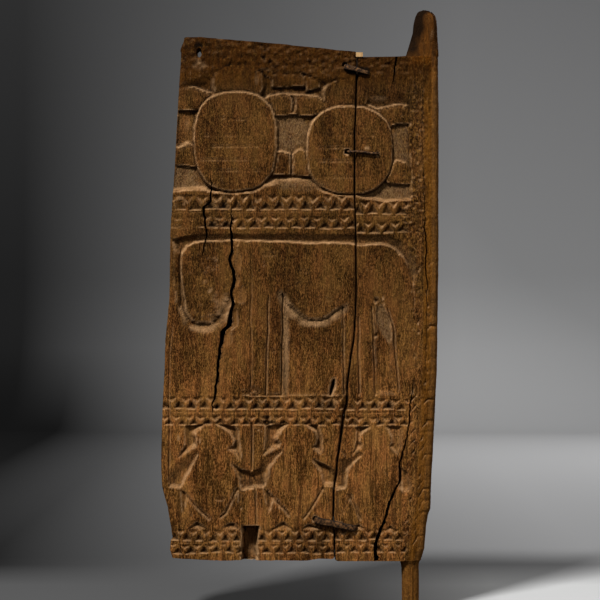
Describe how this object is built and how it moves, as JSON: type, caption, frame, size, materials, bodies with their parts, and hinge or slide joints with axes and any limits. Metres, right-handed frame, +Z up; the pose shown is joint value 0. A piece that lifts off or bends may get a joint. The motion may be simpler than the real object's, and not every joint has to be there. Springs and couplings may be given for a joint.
{
  "type": "carved granary door",
  "caption": "Carved plank door on wooden pivots, its planks stapled edge to edge, with animals in relief between chip-carved bands.",
  "frame": {"origin": "on the bottom pivot's axis, at the lower end of its round shank", "axes": "+Z up along the bottom pivot, -Y out of the carved face, -X towards the free edge"},
  "size_m": [0.4465, 0.0433, 0.962],
  "materials": {
    "carved_wood": "dry weathered hardwood, matt",
    "forged_iron": "forged, rusted and handled",
    "pale_wood": "fresh split wood, matt"
  },
  "bodies": {
    "root": {"wide_plank": "carved_wood", "pivot_plank": "carved_wood", "staple_top": "forged_iron", "staple_middle": "forged_iron", "staple_bottom": "forged_iron", "joint_shim": "pale_wood"}
  },
  "joints": []
}
